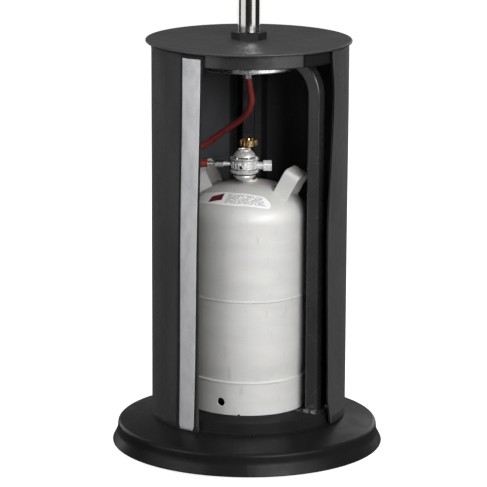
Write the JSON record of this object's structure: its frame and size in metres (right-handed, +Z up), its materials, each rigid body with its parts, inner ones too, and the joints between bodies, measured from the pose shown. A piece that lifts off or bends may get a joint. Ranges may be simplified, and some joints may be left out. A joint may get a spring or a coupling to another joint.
{
  "type": "outdoor gas heater",
  "caption": "Free-standing gas patio heater: ballasted round base, fabric-curtained bottle bay with a lid, steel post, burner head and wide reflector.",
  "frame": {"origin": "on the floor under the middle of the round base", "axes": "+Z up along the post; -Y is the front, where the bottle bay opens; +X to the right seen from the front"},
  "size_m": [0.78, 0.78, 2.192],
  "materials": {
    "base_paint": "satin black powder coat",
    "lid_paint": "satin charcoal powder coat",
    "inner_paint": "semi-gloss black paint",
    "stainless": "polished stainless steel",
    "zinc_steel": "zinc-plated steel",
    "brass": "turned brass",
    "die_cast": "die-cast, matt silver",
    "bottle_paint": "light grey enamel",
    "label_film": "printed film",
    "hose_rubber": "red flexible hose",
    "black_plastic": "moulded",
    "knob_plastic": "moulded",
    "pad_rubber": "moulded",
    "ballast": "cast concrete",
    "curtain_fabric": "coated polyester weave",
    "loop_fabric": "grey loop tape",
    "hook_fabric": "black hook tape",
    "reflector_sheet": "spun, satin",
    "emitter_steel": "perforated heat-resistant steel",
    "copper": "drawn copper pipe"
  },
  "bodies": {
    "frame": {"base_cover": "base_paint", "base_plate": "inner_paint", "ballast_ring": "ballast", "rubber_feet": "pad_rubber", "plinth": "base_paint", "leg_right": "inner_paint", "leg_left": "inner_paint", "leg_back": "inner_paint", "foot_bolts": "zinc_steel", "hub_dish": "stainless", "hub_plate": "inner_paint", "hub_bolts": "zinc_steel", "lid": "lid_paint", "apron_ring": "inner_paint", "post_socket": "inner_paint", "post": "stainless", "post_screws": "zinc_steel", "collar_nut": "black_plastic", "bulkhead_fitting": "brass", "hose_nut_upper": "zinc_steel", "gas_riser_pipe": "copper", "bottle_shell": "bottle_paint", "bottle_foot_ring": "bottle_paint", "bottle_ears": "bottle_paint", "bottle_label": "label_film", "bottle_valve_body": "brass", "regulator_body": "die_cast", "regulator_cap": "die_cast", "regulator_screws": "zinc_steel", "regulator_diaphragm": "pad_rubber", "regulator_side_plug": "die_cast", "regulator_union_nut": "brass", "gas_hose": "hose_rubber", "hose_nut_lower": "zinc_steel", "hose_tail": "zinc_steel", "hose_cuff": "hose_rubber", "curtain_panel": "curtain_fabric", "apron_hook_tape": "hook_fabric", "loop_strip": "loop_fabric", "head_collar": "stainless", "control_housing": "stainless", "control_bezels": "black_plastic", "gas_valve": "die_cast", "piezo_igniter": "black_plastic", "tilt_switch": "black_plastic", "burner_deck": "stainless", "burner_feed_pipe": "copper", "burner": "die_cast", "emitter_screen": "emitter_steel", "emitter_cap": "stainless", "reflector_studs": "zinc_steel", "pilot_and_probes": "stainless", "reflector": "reflector_sheet"},
    "handwheel": {"valve_spindle": "brass", "valve_handwheel": "brass"},
    "flap": {"curtain_flap": "curtain_fabric", "flap_hook_tape": "hook_fabric"},
    "spindle": {"control_spindle": "brass"},
    "knob": {"control_knob": "knob_plastic"},
    "igniter": {"igniter_button": "knob_plastic"}
  },
  "joints": [
    {"name": "flap_wrap", "type": "hinge", "parent": "frame", "child": "flap", "pos_m": [0, 0, 0.42], "axis": [0, 0, 1], "range_deg": [-104, 0]},
    {"name": "bottle_valve_turn", "type": "hinge", "parent": "frame", "child": "handwheel", "pos_m": [0, 0, 0.59], "axis": [0, 0, 1], "range_deg": [0, 540]},
    {"name": "knob_push", "type": "slide", "parent": "frame", "child": "spindle", "axis": [0, 1, 0], "range_m": [0, 0.0035], "stiffness_N_per_m": 1200, "springref_m": -0.003},
    {"name": "knob_turn", "type": "hinge", "parent": "spindle", "child": "knob", "pos_m": [0, -0.08, 1.786], "axis": [0, -1, 0], "range_deg": [0, 270]},
    {"name": "igniter_push", "type": "slide", "parent": "frame", "child": "igniter", "axis": [0, 1, 0], "range_m": [0, 0.005], "stiffness_N_per_m": 800, "springref_m": -0.003}
  ]
}
